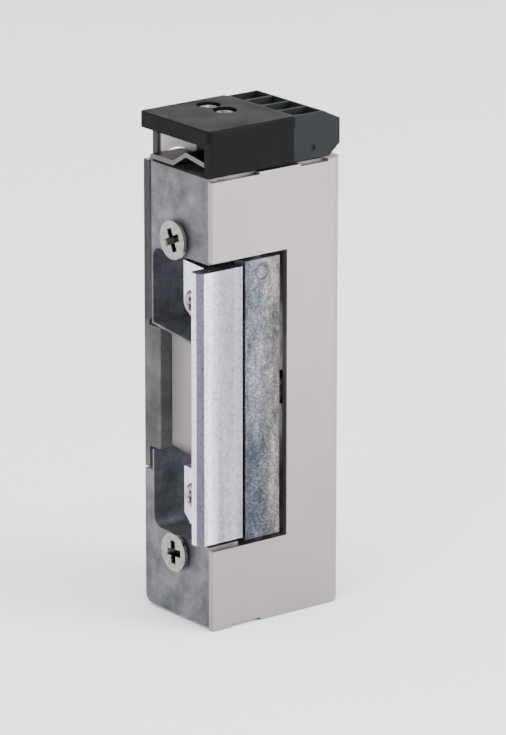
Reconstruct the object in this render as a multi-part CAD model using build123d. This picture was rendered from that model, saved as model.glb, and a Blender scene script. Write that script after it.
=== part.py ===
from build123d import *
import math
import os

# Electric door strike. The origin is the centre of the two faceplate screws on the
# screw face. +X runs into the frame, -Y is the keeper side, +Z is up. Millimetres.

# Outer casing
BODY_DEPTH = 23.0
BODY_HALF_WIDTH = 8.0
BODY_HALF_HEIGHT = 33.0
SHEET = 1.0
SIDE_SHEET = 1.1
BEND_RADIUS = 1.6
FOOT_CORNER = 1.8
PLATE_GAP = 0.7
STEP_GAP = 0.3
COVER_SIDE_GAP = 0.1
CASTING_BACK = BODY_DEPTH - SHEET
CASTING_FRONT_Y = -BODY_HALF_WIDTH + SHEET
SIDE_PLATE_Y = BODY_HALF_WIDTH - SIDE_SHEET
CASTING_SIDE_Y = SIDE_PLATE_Y - PLATE_GAP
SIDE_PLATE_BOTTOM = -12.2
CASTING_FOOT_GAP = 0.4
RIVET_R = 0.8
RIVET_HEAD_R = 1.5
RIVET_HEAD = 0.25
RIVET_BITE = 1.5
RIVET_Z = 29.3
FOOT_NOTCH = (3.2, 8.4, 0.45)
TOP_STEP = (8.2, 15.5, 0.35)
TAB_X0 = 1.6
TAB_X1 = 9.9
TAB_NOTCH_X = 4.8
TAB_NOTCH_R = 3.56
TAB_NOTCH_TOP = 34.1
POST_TOP = 9.6
POST_END = 9.0
TAB_GAP = 0.3
CASTING_CORNER = 1.3

# Faceplate screws
SCREW_SPACING = 46.0
SCREW_SHANK_R = 1.7
SCREW_HEAD_R = 2.8
SCREW_HEAD_RIM = 0.5
SCREW_CONE = 0.6
SCREW_HEAD_OUT = 1.1
RECESS_REACH = 0.62
RECESS_WIDTH = 0.38
RECESS_FLOOR = 0.55
SCREW_LENGTH = 7.0
SCREW_TURNS = ((24, 1), (4, -1))
RECESS_DEPTH = 1.2
PAN_ROUND = 0.45
PAN_RECESS = 0.7

# Keeper bay, latch pocket and the window in the cover
WINDOW_DEPTH = 13.1
WINDOW_HALF_HEIGHT = 21.1
POCKET_HALF_HEIGHT = 20.7
POCKET_SIDE_Y = 5.9
POCKET_DEPTH = 6.8
POCKET_CORNER = 1.6
LATCH_HALF_HEIGHT = 9.3
LATCH_DEPTH = 12.2
SIDE_WINDOW_X = (3.4, 7.4)
SIDE_WINDOW_DROP = 3.0
POST_Y = 4.6
POST_DEPTH = 2.5
GUIDE_EDGE_R = 0.4
SHELF = 0.35
SHELF_ROOT = 0.2
SHELF_SLOPE = 1.0
SHELF_END_Y = -3.2
GUIDE_SHEET = 0.5
GUIDE_EDGE_Y = -0.8
LEVER_WINDOW_Y = 2.9
LEVER_WINDOW_LOW_Y = -6.4

# Keeper
PIVOT_X = 9.5
PIVOT_Y = -5.0
AXLE_R = 1.2
AXLE_BORE_R = 1.25
AXLE_HALF_LENGTH = 24.5
AXLE_BEVEL = 0.2
HUB_R = 2.2
TAIL_R = 4.3
TAIL_START = -15.0
TAIL_END = 21.0
TAIL_STEPS = 6
BAY_R = 4.8
BAR_FRONT_X = 5.8
BAR_BACK_X = 12.0
BAR_FACE_Y = -7.9
BAR_HALF_HEIGHT = 20.45
BAR_INNER_Y = -4.0
BAR_CORNER = 0.3
SPRING_Z0 = 3.4
SPRING_Z1 = 7.4
SPRING_WIRE_R = 0.2
SPRING_COIL_R = 1.95
SPRING_TURNS = 5
SLEEVE_R = 1.65
GROOVE_R = 2.5
GROOVE_END = 0.4
LEG_RELIEF_X = 1.9
LEG_RELIEF_HALF = 1.5
SPRING_LEG = 3.9
CLAMP_HOLE_END_X = 6.5
ARM_FRONT_X = 2.5
ARM_FACE_Y = -3.3
ARM_BACK_Y = -0.7
ARM_SPANS = ((-18.5, -10.2), (12.3, 20.0))

# Adjustable lip of the keeper
LIP_TIP_X = -2.3
LIP_BACK_X = 5.2
LIP_FACE_Y = -8.0
LIP_NOSE_FLAT = 1.1
LIP_NOSE_BEVEL = 0.8
LIP_INNER_BEVEL = 0.4
LIP_ROOT_THICKNESS = 2.6
LIP_HALF_HEIGHT = 19.9
EAR_FRONT_X = 0.6
EAR_THICKNESS = 1.5
EAR_REACH_Y = -0.5
EAR_ROOT_Y = -6.5
EAR_BEVEL = 1.4
EAR_GAP = 0.3
EAR_LEDGE = 0.7
LIP_TRAVEL = 1.0
CLAMP_SCREW_Z = 14.2
CLAMP_SCREW_Y = -2.7
CLAMP_HEAD_R = 1.6
CLAMP_SHANK_R = 0.9
CLAMP_HEAD = 0.9
CLAMP_LENGTH = 4.4
CLAMP_PLAY = 0.3
WASHER = 0.2

# Mechanism chamber behind the keeper
CHAMBER_FRONT_X = 15.2
CHAMBER_Y0 = -5.6
CHAMBER_Y1 = 5.3
CHAMBER_HALF_HEIGHT = 28.0
COIL_X = 18.3
COIL_Y = 0.4
COIL_BOTTOM = 10.4
COIL_TOP = 26.6
CORE_HALF_X = 1.3
CORE_HALF_Y = 2.6
BOBBIN_WALL = 0.5
FLANGE = 0.8
COIL_HALF_X = 2.5
COIL_HALF_Y = 4.6
YOKE = 0.9
YOKE_FRONT_X = 16.0
YOKE_FOOT = 0.2
WINDING_INSET = 0.3
WINDING_CORNER = 1.0
ARMATURE_BOTTOM = 9.0
ARMATURE_THICKNESS = 0.8
ARMATURE_FRONT_X = 16.2
ARMATURE_PIVOT_X = 20.9
ARMATURE_PIVOT_Z = ARMATURE_BOTTOM + ARMATURE_THICKNESS / 2
ARMATURE_HALF_WIDTH = 3.9
ARMATURE_PIN_R = 0.45
ARMATURE_BORE_R = 0.5
ARMATURE_EYE_R = 0.8
TONGUE_BOTTOM = 2.0
TONGUE_HALF_WIDTH = 1.2
PIN_BITE = 0.8
ARMATURE_SPRING_X = 17.3
ARMATURE_SPRING_Y = -3.0
ARMATURE_SPRING_R = 0.75
ARMATURE_WIRE_R = 0.14
ARMATURE_SPRING_PITCH = 0.7
LEAD_X = 15.5
LEAD_BEND_X = 12.6
LEAD_YS = (-2.6, 3.4)
LEAD_LOW = 26.2
LEAD_BEND_Z = 31.5
LEAD_R = 0.2
LEAD_BAY_X0 = 7.5
LEAD_BAY_X1 = 20.0
LEAD_BAY_HALF_Y = 4.6

# Locking lever
LEVER_PIVOT_X = 18.8
LEVER_PIVOT_Y = -3.6
LEVER_PIN_R = 0.75
LEVER_BORE_R = 0.8
LEVER_HALF_THICKNESS = 1.5
LEVER_HUB_R = 1.5
LEVER_TIP_X = 12.4
LEVER_TIP_Y = -2.1
LEVER_ARM_WIDTH = 1.5
LEVER_TIP_R = 0.5
LEVER_HEEL = 4.6
LEVER_HEEL_WIDTH = 1.2
RIB_Z = 2.5
RIB = 1.4
RIB_REACH = 1.6

# Top cap and terminal block
CAP_TOP = 40.0
CAP_LIP = 1.6
CAP_PLATE = 2.4
CAP_BOTTOM = 33.3
CAP_FRONT_X = -0.6
CAP_BACK_X = 14.4
CAP_WALL = 1.2
CAP_STEP = 0.2
TERMINAL_BACK_X = 22.8
TERMINAL_CHAMFER_TOP = 2.9
TERMINAL_CHAMFER_SIDE = 1.5
PITCH = 3.81
POLES = 4
BLOCK_SHIFT = 0.1
TERMINAL_Y0 = -PITCH * POLES / 2 + BLOCK_SHIFT
WELL_WIDTH = 3.2
WIRE_HALF = 1.1
WIRE_Z = 36.6
WELL_X0 = 14.9
WELL_X1 = 19.6
WELL_MID_X = (WELL_X0 + WELL_X1) / 2
WELL_FLOOR = 34.4
CAGE_X0 = 15.6
CAGE_X1 = 19.0
CAGE_HALF = 1.5
CAGE_HOLE_HALF = 1.15
CAGE_TOP = 38.4
TERMINAL_SCREW_R = 0.6
TERMINAL_HEAD_R = 1.25
TERMINAL_HEAD = 0.7
SLOT_HALF = 0.2
SLOT_DEPTH = 0.3
PIN_X0 = 12.8
PIN_Z = 35.0
PIN_HALF = 0.4
PIN_SHEET = 0.5
DIMPLE_X = 18.0
DIMPLE_Z = 34.9
DIMPLE_R = 0.4
DIMPLE_DEPTH = 0.2
BLOCK_GAP = 0.05
BLOCK_DROP = 0.1
FOOT_CHAMFER_X = 1.9
FOOT_CHAMFER_Z = 1.6
CAP_SCREW_X = 9.0
CAP_SCREW_YS = (1.0, 4.8)
CAP_SCREW_TURNS = (20, 65)
CAP_HOLE_R = 1.75
CAP_SHANK_R = 0.8
CAP_HEAD_R = 1.5
CAP_HEAD = 0.9
CAP_SCREW_LENGTH = 4.6
CAP_SEAT_Z = 38.8
CAP_CORNER = 0.7
CAP_EDGE = 0.25
CAP_REAR_WALL_X = 10.3
CARRIER_X0 = 7.8
CARRIER_X1 = 14.2
CARRIER_Y0 = -5.6
CARRIER_Y1 = 6.0

# Bent leaf strip over the top of the housing
LEAF = 0.7
LEAF_X0 = 0.3
LEAF_X1 = 5.6
LEAF_LIFT = 0.25
LEAF_TAIL = 23.4
LEAF_BEND_Y = 1.5
LEAF_CREST_Y = -1.46
LEAF_CREST = 1.75
LEAF_END_Y = -6.5
LEAF_END = 1.0


def box(x0, x1, y0, y1, z0, z1):
    """A box between two corners."""
    size = Box(x1 - x0, y1 - y0, z1 - z0)
    return Pos((x0 + x1) / 2, (y0 + y1) / 2, (z0 + z1) / 2) * size


def rod_x(x0, x1, y, z, r):
    """A round rod along X."""
    return Pos((x0 + x1) / 2, y, z) * Rot(0, 90, 0) * Cylinder(r, x1 - x0)


def rod_y(x, y0, y1, z, r):
    """A round rod along Y."""
    return Pos(x, (y0 + y1) / 2, z) * Rot(90, 0, 0) * Cylinder(r, y1 - y0)


def rod_z(x, y, z0, z1, r):
    """A round rod along Z."""
    return Pos(x, y, (z0 + z1) / 2) * Cylinder(r, z1 - z0)


def plan(points, z0, z1):
    """A prism standing on z0, from an outline seen from above."""
    face = make_face(Polyline(*points, close=True))
    return Pos(0, 0, z0) * extrude(face, z1 - z0, dir=(0, 0, 1))


def side(points, y0, y1):
    """A prism along Y, from an outline in X and Z."""
    face = make_face(Polyline(*[(x, y0, z) for x, z in points], close=True))
    return extrude(face, y1 - y0, dir=(0, 1, 0))


def end_on(points, x0, x1):
    """A prism along X, from an outline in Y and Z."""
    face = make_face(Polyline(*[(x0, y, z) for y, z in points], close=True))
    return extrude(face, x1 - x0, dir=(1, 0, 0))


def cross_outline(reach, half):
    """The twelve corners of a cross."""
    quarter = [(reach, half), (half, half), (half, reach)]
    corners = []
    for x_sign, y_sign in ((1, 1), (-1, 1), (-1, -1), (1, -1)):
        arm = [(x_sign * x, y_sign * y) for x, y in quarter]
        corners.extend(arm if x_sign == y_sign else arm[::-1])
    return corners


def cross_recess(head_r, depth):
    """A cross-shaped driver recess opening at z = 0 and narrowing downwards."""
    reach = head_r * RECESS_REACH
    half = head_r * RECESS_WIDTH / 2
    mouth = make_face(Polyline(*cross_outline(reach, half), close=True))
    floor_outline = cross_outline(reach * RECESS_FLOOR, half * RECESS_FLOOR)
    floor = make_face(Polyline(*floor_outline, close=True))
    return loft([Pos(0, 0, 0.01) * mouth, Pos(0, 0, -depth) * floor])


def countersunk_screw(head_r, shank_r, cone, length):
    """A countersunk screw with its head's face at z = 0 and its shank down -Z."""
    outline = [
        (0, 0),
        (head_r, 0),
        (head_r, -SCREW_HEAD_RIM),
        (shank_r, -SCREW_HEAD_RIM - cone),
        (shank_r, -length + shank_r / 2),
        (shank_r / 2, -length),
        (0, -length),
    ]
    face = make_face(Polyline(*[(x, 0, z) for x, z in outline], close=True))
    return revolve(face, Axis.Z) - cross_recess(head_r, RECESS_DEPTH)


def pan_screw(head_r, head, shank_r, length):
    """A pan-head screw with its head's underside at z = 0."""
    top = Pos(0, 0, head / 2) * Cylinder(head_r, head)
    top = fillet(top.edges().sort_by(Axis.Z)[-1], head * PAN_ROUND)
    shank = Pos(0, 0, -length / 2) * Cylinder(shank_r, length)
    return top + shank - Pos(0, 0, head) * cross_recess(head_r, head * PAN_RECESS)


def keeper_bay():
    """Room for the keeper and for the latch bolt, as one cutting solid."""
    low_y = -BODY_HALF_WIDTH - 1
    half = POCKET_HALF_HEIGHT
    pocket = box(-1, POCKET_DEPTH, low_y, POCKET_SIDE_Y, -half, half)
    pocket = fillet(
        pocket.edges().filter_by(Axis.X).group_by(Axis.Y)[-1], POCKET_CORNER
    )
    swing = box(POCKET_DEPTH - 1, PIVOT_X, low_y, PIVOT_Y + BAY_R, -WINDOW_HALF_HEIGHT, WINDOW_HALF_HEIGHT)
    round_end = rod_z(PIVOT_X, PIVOT_Y, -WINDOW_HALF_HEIGHT, WINDOW_HALF_HEIGHT, BAY_R)
    mouth = box(PIVOT_X - 1, PIVOT_X + BAY_R, low_y, PIVOT_Y, -WINDOW_HALF_HEIGHT, WINDOW_HALF_HEIGHT)
    latch = box(-1, LATCH_DEPTH, low_y, POCKET_SIDE_Y, -LATCH_HALF_HEIGHT, LATCH_HALF_HEIGHT)
    return pocket + swing + round_end + mouth + latch


def side_window():
    """The opening in the casting's side wall that shows the side plate behind it."""
    half = LATCH_HALF_HEIGHT
    outline = [
        (-1, half),
        (-1, -half),
        (SIDE_WINDOW_X[0], -half),
        (SIDE_WINDOW_X[1], -half - SIDE_WINDOW_DROP),
        (LATCH_DEPTH, -half - SIDE_WINDOW_DROP),
        (LATCH_DEPTH, half),
    ]
    return side(outline, POCKET_SIDE_Y - 1, BODY_HALF_WIDTH + 1)


def shelf():
    """The thin sloping web under the upper ear."""
    outline = [
        (POCKET_SIDE_Y + SHELF_ROOT, LATCH_HALF_HEIGHT),
        (POCKET_SIDE_Y + SHELF_ROOT, LATCH_HALF_HEIGHT + SHELF),
        (SHELF_END_Y, LATCH_HALF_HEIGHT - SHELF_SLOPE + SHELF),
        (SHELF_END_Y, LATCH_HALF_HEIGHT - SHELF_SLOPE),
    ]
    return end_on(outline, 0, POCKET_DEPTH)


def lever_ribs():
    """Two ribs in the chamber that hold the lever's pin."""
    ribs = []
    for z in (-RIB_Z - RIB, RIB_Z):
        ribs.append(
            box(CHAMBER_FRONT_X, CASTING_BACK, CHAMBER_Y0, LEVER_PIVOT_Y + RIB_REACH, z, z + RIB)
        )
    return ribs[0] + ribs[1]


def housing_holes():
    """Every hole that a screw, axle, pin or rivet of the housing fills."""
    low = CHAMBER_Y0 - PIN_BITE
    high = CHAMBER_Y1 + PIN_BITE
    holes = rod_z(LEVER_PIVOT_X, LEVER_PIVOT_Y, -RIB_Z - RIB, RIB_Z + RIB, LEVER_PIN_R)
    holes = holes + rod_z(PIVOT_X, PIVOT_Y, -AXLE_HALF_LENGTH, AXLE_HALF_LENGTH, AXLE_R)
    holes = holes + rod_y(ARMATURE_PIVOT_X, low, high, ARMATURE_PIVOT_Z, ARMATURE_PIN_R)
    for sign in (-1, 1):
        holes = holes + rod_x(-1, SCREW_LENGTH, 0, sign * SCREW_SPACING / 2, SCREW_SHANK_R)
        holes = holes + rod_x(CASTING_BACK - RIVET_BITE, BODY_DEPTH, 0, sign * RIVET_Z, RIVET_R)
    return holes


def housing():
    """The die-cast zinc housing that carries everything else."""
    top = BODY_HALF_HEIGHT
    foot = -BODY_HALF_HEIGHT + CASTING_FOOT_GAP
    step = SIDE_PLATE_BOTTOM - STEP_GAP
    half = CHAMBER_HALF_HEIGHT
    upper = box(0, CASTING_BACK, CASTING_FRONT_Y, CASTING_SIDE_Y, foot, top)
    lower = box(0, CASTING_BACK, CASTING_FRONT_Y, BODY_HALF_WIDTH, foot, step)
    body = upper + lower
    corner = body.edges().filter_by(Axis.X).group_by(Axis.Z)[0].sort_by(Axis.Y)[-1]
    body = fillet(corner, CASTING_CORNER)
    body = body - keeper_bay() - side_window() + shelf()
    body = body - box(CHAMBER_FRONT_X, BODY_DEPTH, CHAMBER_Y0, CHAMBER_Y1, -half, half)
    body = body - box(PIVOT_X, CHAMBER_FRONT_X + 1, LEVER_WINDOW_LOW_Y, LEVER_WINDOW_Y, -RIB_Z, RIB_Z)
    body = body + lever_ribs() - housing_holes()
    return body - box(LEAD_BAY_X0, LEAD_BAY_X1, -LEAD_BAY_HALF_Y, LEAD_BAY_HALF_Y, half - 1, top + 1)


def cover_plate():
    """The plated steel cover: keeper side and back, bent from one sheet."""
    half = BODY_HALF_HEIGHT
    out = -BODY_HALF_WIDTH - 1
    inside = CASTING_FRONT_Y + SHEET / 2
    outer = box(0, BODY_DEPTH, -BODY_HALF_WIDTH, SIDE_PLATE_Y - COVER_SIDE_GAP, -half, half)
    bend = outer.edges().filter_by(Axis.Z).group_by(Axis.X)[-1].sort_by(Axis.Y)[0]
    outer = fillet(bend, BEND_RADIUS)
    cover = outer - box(-1, CASTING_BACK, CASTING_FRONT_Y, BODY_HALF_WIDTH, -half - 1, half + 1)
    window = WINDOW_HALF_HEIGHT
    cover = cover - box(-1, WINDOW_DEPTH, out, CASTING_FRONT_Y + 1, -window, window)
    cover = cover - box(FOOT_NOTCH[0], FOOT_NOTCH[1], out, inside, -half - 1, -half + FOOT_NOTCH[2])
    for x0, x1 in ((-1, TOP_STEP[0]), (TOP_STEP[1], CASTING_BACK - BEND_RADIUS)):
        cover = cover - box(x0, x1, out, inside, half - TOP_STEP[2], half + 1)
    x = BODY_DEPTH - FOOT_CORNER
    z = -half + FOOT_CORNER
    corner = box(x, BODY_DEPTH + 1, out, BODY_HALF_WIDTH, -half - 1, z)
    cover = cover - (corner - rod_y(x, out, BODY_HALF_WIDTH, z, FOOT_CORNER))
    for z in (-RIVET_Z, RIVET_Z):
        cover = cover - rod_x(CASTING_BACK - 1, BODY_DEPTH, 0, z, RIVET_R)
        cover = cover - rod_x(BODY_DEPTH - RIVET_HEAD, BODY_DEPTH + 1, 0, z, RIVET_HEAD_R)
    return cover


def cover_rivets():
    """Flush rivets that hold the cover to the back of the housing."""
    placed = []
    for z in (-RIVET_Z, RIVET_Z):
        shank = rod_x(CASTING_BACK - RIVET_BITE, BODY_DEPTH, 0, z, RIVET_R)
        placed.append(shank + rod_x(BODY_DEPTH - RIVET_HEAD, BODY_DEPTH, 0, z, RIVET_HEAD_R))
    return Compound(children=placed)


def side_plate():
    """The plain side plate with its upright tab."""
    y0 = SIDE_PLATE_Y
    y1 = BODY_HALF_WIDTH
    top = BODY_HALF_HEIGHT
    plate = box(0, CASTING_BACK, y0, y1, SIDE_PLATE_BOTTOM, top)
    plate = plate - box(-1, POST_DEPTH, y0 - 1, y1 + 1, SIDE_PLATE_BOTTOM - 1, POST_TOP)
    plate = plate + box(TAB_X0, TAB_X1, y0, y1, top - 1, CAP_TOP - CAP_PLATE - TAB_GAP)
    notch = rod_y(TAB_NOTCH_X, y0 - 1, y1 + 1, TAB_NOTCH_TOP - TAB_NOTCH_R, TAB_NOTCH_R)
    below = box(-1, CASTING_BACK, y0 - 2, y1 + 2, 0, top)
    return plate - (notch - below)


def latch_post():
    """The cast post that closes the side of the latch pocket."""
    y1 = BODY_HALF_WIDTH
    post = box(0, POST_DEPTH, POST_Y, y1, -POST_END, POST_END)
    post = post + box(0, POST_DEPTH, SIDE_PLATE_Y, y1, SIDE_PLATE_BOTTOM, POST_TOP)
    edges = post.edges().filter_by(Axis.Z).group_by(Axis.Y)[0]
    return fillet(edges, GUIDE_EDGE_R)


def rear_guide():
    """The bright guide plate at the back of the latch pocket."""
    x0 = LATCH_DEPTH - GUIDE_SHEET
    half = LATCH_HALF_HEIGHT
    guide = box(x0, LATCH_DEPTH, GUIDE_EDGE_Y, POCKET_SIDE_Y, -half, half)
    return guide - box(x0 - 1, LATCH_DEPTH + 1, GUIDE_EDGE_Y - 1, LEVER_WINDOW_Y, -RIB_Z, RIB_Z)


def faceplate_screws():
    """Two screws, standing proud as they are before a faceplate goes under them."""
    screw = countersunk_screw(SCREW_HEAD_R, SCREW_SHANK_R, SCREW_CONE, SCREW_LENGTH)
    placed = []
    for turn, sign in SCREW_TURNS:
        seat = Pos(-SCREW_HEAD_OUT, 0, sign * SCREW_SPACING / 2) * Rot(0, -90, 0)
        placed.append(seat * Rot(0, 0, turn) * screw)
    return Compound(children=placed)


def leaf_strip():
    """The spring strip between casting and side plate, bent over the top."""
    y = SIDE_PLATE_Y
    z = BODY_HALF_HEIGHT + LEAF_LIFT
    outline = [
        (y, z - LEAF_TAIL),
        (y, z + LEAF / 2),
        (y - LEAF / 2, z + LEAF),
        (LEAF_BEND_Y, z + LEAF),
        (LEAF_CREST_Y, z + LEAF + LEAF_CREST),
        (LEAF_END_Y, z + LEAF + LEAF_END),
        (LEAF_END_Y, z + LEAF_END),
        (LEAF_CREST_Y, z + LEAF_CREST),
        (LEAF_BEND_Y, z),
        (y - LEAF, z),
        (y - LEAF, z - LEAF_TAIL),
    ]
    return end_on(outline, LEAF_X0, LEAF_X1)


def keeper_axle():
    """The steel axle that the keeper swings on."""
    axle = rod_z(PIVOT_X, PIVOT_Y, -AXLE_HALF_LENGTH, AXLE_HALF_LENGTH, AXLE_R)
    return chamfer(axle.edges().filter_by(GeomType.CIRCLE), AXLE_BEVEL)


def keeper_tail():
    """The sector on the hub that runs up against the locking lever."""
    outline = [(PIVOT_X, PIVOT_Y)]
    for step in range(TAIL_STEPS):
        angle = math.radians(TAIL_START + step * (TAIL_END - TAIL_START) / (TAIL_STEPS - 1))
        outline.append((PIVOT_X + TAIL_R * math.cos(angle), PIVOT_Y + TAIL_R * math.sin(angle)))
    return plan(outline, -LEVER_HALF_THICKNESS, LEVER_HALF_THICKNESS)


def leg_relief():
    """Room in the bar's inner corner for the spring's leg when the keeper is open."""
    low = PIVOT_Y - LEG_RELIEF_HALF
    high = PIVOT_Y + LEG_RELIEF_HALF
    x0 = PIVOT_X + LEG_RELIEF_X
    return box(x0, BAR_BACK_X + 1, low, high, SPRING_Z0 - GROOVE_END, SPRING_Z1 + GROOVE_END)


def keeper_body():
    """The as-cast keeper: a bar beside the lip, arms behind it, hub and locking tail."""
    half = BAR_HALF_HEIGHT
    bar = box(BAR_FRONT_X, BAR_BACK_X, BAR_FACE_Y, BAR_INNER_Y, -half, half)
    outer_edges = bar.edges().filter_by(Axis.Z).group_by(Axis.Y)[0]
    bar = fillet(outer_edges.sort_by(Axis.X)[-1], BAR_CORNER)
    body = bar + rod_z(PIVOT_X, PIVOT_Y, -half, half, HUB_R) + keeper_tail()
    for z0, z1 in ARM_SPANS:
        arm = box(ARM_FRONT_X, PIVOT_X, ARM_FACE_Y, ARM_BACK_Y, z0, z1)
        body = body + arm + box(BAR_FRONT_X, PIVOT_X, PIVOT_Y, ARM_BACK_Y, z0, z1)
    groove = rod_z(PIVOT_X, PIVOT_Y, SPRING_Z0 - GROOVE_END, SPRING_Z1 + GROOVE_END, GROOVE_R)
    body = body - (groove - rod_z(PIVOT_X, PIVOT_Y, SPRING_Z0 - 1, SPRING_Z1 + 1, SLEEVE_R))
    body = body - leg_relief()
    body = body - rod_z(PIVOT_X, PIVOT_Y, -half - 1, half + 1, AXLE_BORE_R)
    for sign in (-1, 1):
        z = sign * CLAMP_SCREW_Z
        body = body - rod_x(ARM_FRONT_X - 1, CLAMP_HOLE_END_X, CLAMP_SCREW_Y, z, CLAMP_SHANK_R)
    return body


def lip_section():
    """The lip's section: a bevelled nose, a flat face and an inner side that thickens."""
    flat_y = LIP_FACE_Y + LIP_NOSE_BEVEL
    outline = [
        (LIP_TIP_X + LIP_NOSE_BEVEL, LIP_FACE_Y),
        (LIP_BACK_X, LIP_FACE_Y),
        (LIP_BACK_X, LIP_FACE_Y + LIP_ROOT_THICKNESS),
        (LIP_TIP_X + LIP_INNER_BEVEL, flat_y + LIP_NOSE_FLAT + LIP_INNER_BEVEL),
        (LIP_TIP_X, flat_y + LIP_NOSE_FLAT),
        (LIP_TIP_X, flat_y),
    ]
    return outline


def keeper_ear(z0, z1, screw_z):
    """One slotted ear of the lip, with a ledge under the screw head."""
    outline = [
        (EAR_ROOT_Y, z0),
        (EAR_REACH_Y - EAR_BEVEL, z0),
        (EAR_REACH_Y, z0 + EAR_BEVEL),
        (EAR_REACH_Y, z1),
        (EAR_ROOT_Y, z1 - EAR_GAP),
    ]
    ear = end_on(outline, EAR_FRONT_X, EAR_FRONT_X + EAR_THICKNESS)
    low = CLAMP_SCREW_Y - LIP_TRAVEL
    ledge_x = EAR_FRONT_X + EAR_THICKNESS - EAR_LEDGE
    for x1, reach in ((ARM_FRONT_X, CLAMP_SHANK_R + CLAMP_PLAY), (ledge_x, CLAMP_HEAD_R + CLAMP_PLAY)):
        ear = ear - box(EAR_FRONT_X - 1, x1, low, CLAMP_SCREW_Y, screw_z - reach, screw_z + reach)
        for y in (low, CLAMP_SCREW_Y):
            ear = ear - rod_x(EAR_FRONT_X - 1, x1, y, screw_z, reach)
    return ear


def keeper_lip():
    """The bright lip with two slotted ears, set in or out on the keeper."""
    lip = plan(lip_section(), -LIP_HALF_HEIGHT, LIP_HALF_HEIGHT)
    for (z0, z1), screw_z in zip(ARM_SPANS, (-CLAMP_SCREW_Z, CLAMP_SCREW_Z)):
        lip = lip + keeper_ear(z0, z1, screw_z)
    return lip


def clamp_seat_x():
    """Where the washers meet the lip's ledges, less their play."""
    return EAR_FRONT_X + EAR_THICKNESS - EAR_LEDGE - EAR_GAP


def clamp_screws():
    """Two screws that clamp the lip's ears against the keeper's arms."""
    screw = pan_screw(CLAMP_HEAD_R, CLAMP_HEAD, CLAMP_SHANK_R, CLAMP_LENGTH)
    placed = []
    for z in (-CLAMP_SCREW_Z, CLAMP_SCREW_Z):
        placed.append(Pos(clamp_seat_x() - WASHER, CLAMP_SCREW_Y, z) * Rot(0, -90, 0) * screw)
    return Compound(children=placed)


def clamp_washers():
    """The washers under the clamp screws."""
    back = clamp_seat_x()
    placed = []
    for z in (-CLAMP_SCREW_Z, CLAMP_SCREW_Z):
        ring = rod_x(back - WASHER, back, CLAMP_SCREW_Y, z, CLAMP_HEAD_R)
        placed.append(ring - rod_x(back - 1, back + 1, CLAMP_SCREW_Y, z, CLAMP_SHANK_R))
    return Compound(children=placed)


def wound_wire(centre, height, pitch, coil_r, wire_r):
    """A round wire wound up from a starting height."""
    path = centre * Helix(pitch, height, coil_r, lefthand=True)
    section = Plane(origin=path @ 0, z_dir=path % 0) * Circle(wire_r)
    return sweep(section, path=path, is_frenet=True)


def keeper_spring():
    """The torsion spring that swings the keeper shut, with the leg on the housing."""
    height = SPRING_Z1 - SPRING_Z0
    centre = Pos(PIVOT_X, PIVOT_Y, SPRING_Z0)
    coil = wound_wire(centre, height, height / SPRING_TURNS, SPRING_COIL_R, SPRING_WIRE_R)
    leg = rod_y(PIVOT_X + SPRING_COIL_R, PIVOT_Y, PIVOT_Y + SPRING_LEG, SPRING_Z0, SPRING_WIRE_R)
    return coil + leg


def locking_lever():
    """The lever whose nose stands in the way of the keeper's tail."""
    dx = LEVER_TIP_X - LEVER_PIVOT_X
    dy = LEVER_TIP_Y - LEVER_PIVOT_Y
    half = LEVER_HALF_THICKNESS
    arm = box(0, math.hypot(dx, dy), -LEVER_ARM_WIDTH / 2, LEVER_ARM_WIDTH / 2, -half, half)
    arm = fillet(arm.edges().filter_by(Axis.Z).group_by(Axis.X)[-1], LEVER_TIP_R)
    arm = Rot(0, 0, math.degrees(math.atan2(dy, dx))) * arm
    heel = box(-LEVER_HEEL_WIDTH / 2, LEVER_HEEL_WIDTH / 2, 0, LEVER_HEEL, -half, half)
    lever = arm + heel + Cylinder(LEVER_HUB_R, 2 * half) - Cylinder(LEVER_BORE_R, 4 * half)
    return Pos(LEVER_PIVOT_X, LEVER_PIVOT_Y, 0) * lever


def lever_pin():
    """The pin of the locking lever, held in two ribs of the housing."""
    return rod_z(LEVER_PIVOT_X, LEVER_PIVOT_Y, -RIB_Z - RIB, RIB_Z + RIB, LEVER_PIN_R)


def armature():
    """The hinged iron plate under the coil, with its tongue above the lever."""
    z0 = ARMATURE_BOTTOM
    y0 = COIL_Y - ARMATURE_HALF_WIDTH
    y1 = COIL_Y + ARMATURE_HALF_WIDTH
    front = ARMATURE_FRONT_X
    plate = box(front, ARMATURE_PIVOT_X, y0, y1, z0, z0 + ARMATURE_THICKNESS)
    tongue = box(
        front, front + ARMATURE_THICKNESS, -TONGUE_HALF_WIDTH, TONGUE_HALF_WIDTH, TONGUE_BOTTOM, z0
    )
    eye = rod_y(ARMATURE_PIVOT_X, y0, y1, ARMATURE_PIVOT_Z, ARMATURE_EYE_R)
    bore = rod_y(ARMATURE_PIVOT_X, y0 - 1, y1 + 1, ARMATURE_PIVOT_Z, ARMATURE_BORE_R)
    return plate + tongue + eye - bore


def armature_pin():
    """The pin that the armature tilts on."""
    low = CHAMBER_Y0 - PIN_BITE
    return rod_y(ARMATURE_PIVOT_X, low, CHAMBER_Y1 + PIN_BITE, ARMATURE_PIVOT_Z, ARMATURE_PIN_R)


def armature_spring():
    """The small spring between the lever rib and the armature."""
    low = RIB_Z + RIB + ARMATURE_WIRE_R
    height = ARMATURE_BOTTOM - ARMATURE_WIRE_R - low
    centre = Pos(ARMATURE_SPRING_X, ARMATURE_SPRING_Y, low)
    return wound_wire(centre, height, ARMATURE_SPRING_PITCH, ARMATURE_SPRING_R, ARMATURE_WIRE_R)


def around_coil(half_x, half_y, z0, z1):
    """A block centred on the coil's axis."""
    return box(COIL_X - half_x, COIL_X + half_x, COIL_Y - half_y, COIL_Y + half_y, z0, z1)


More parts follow.
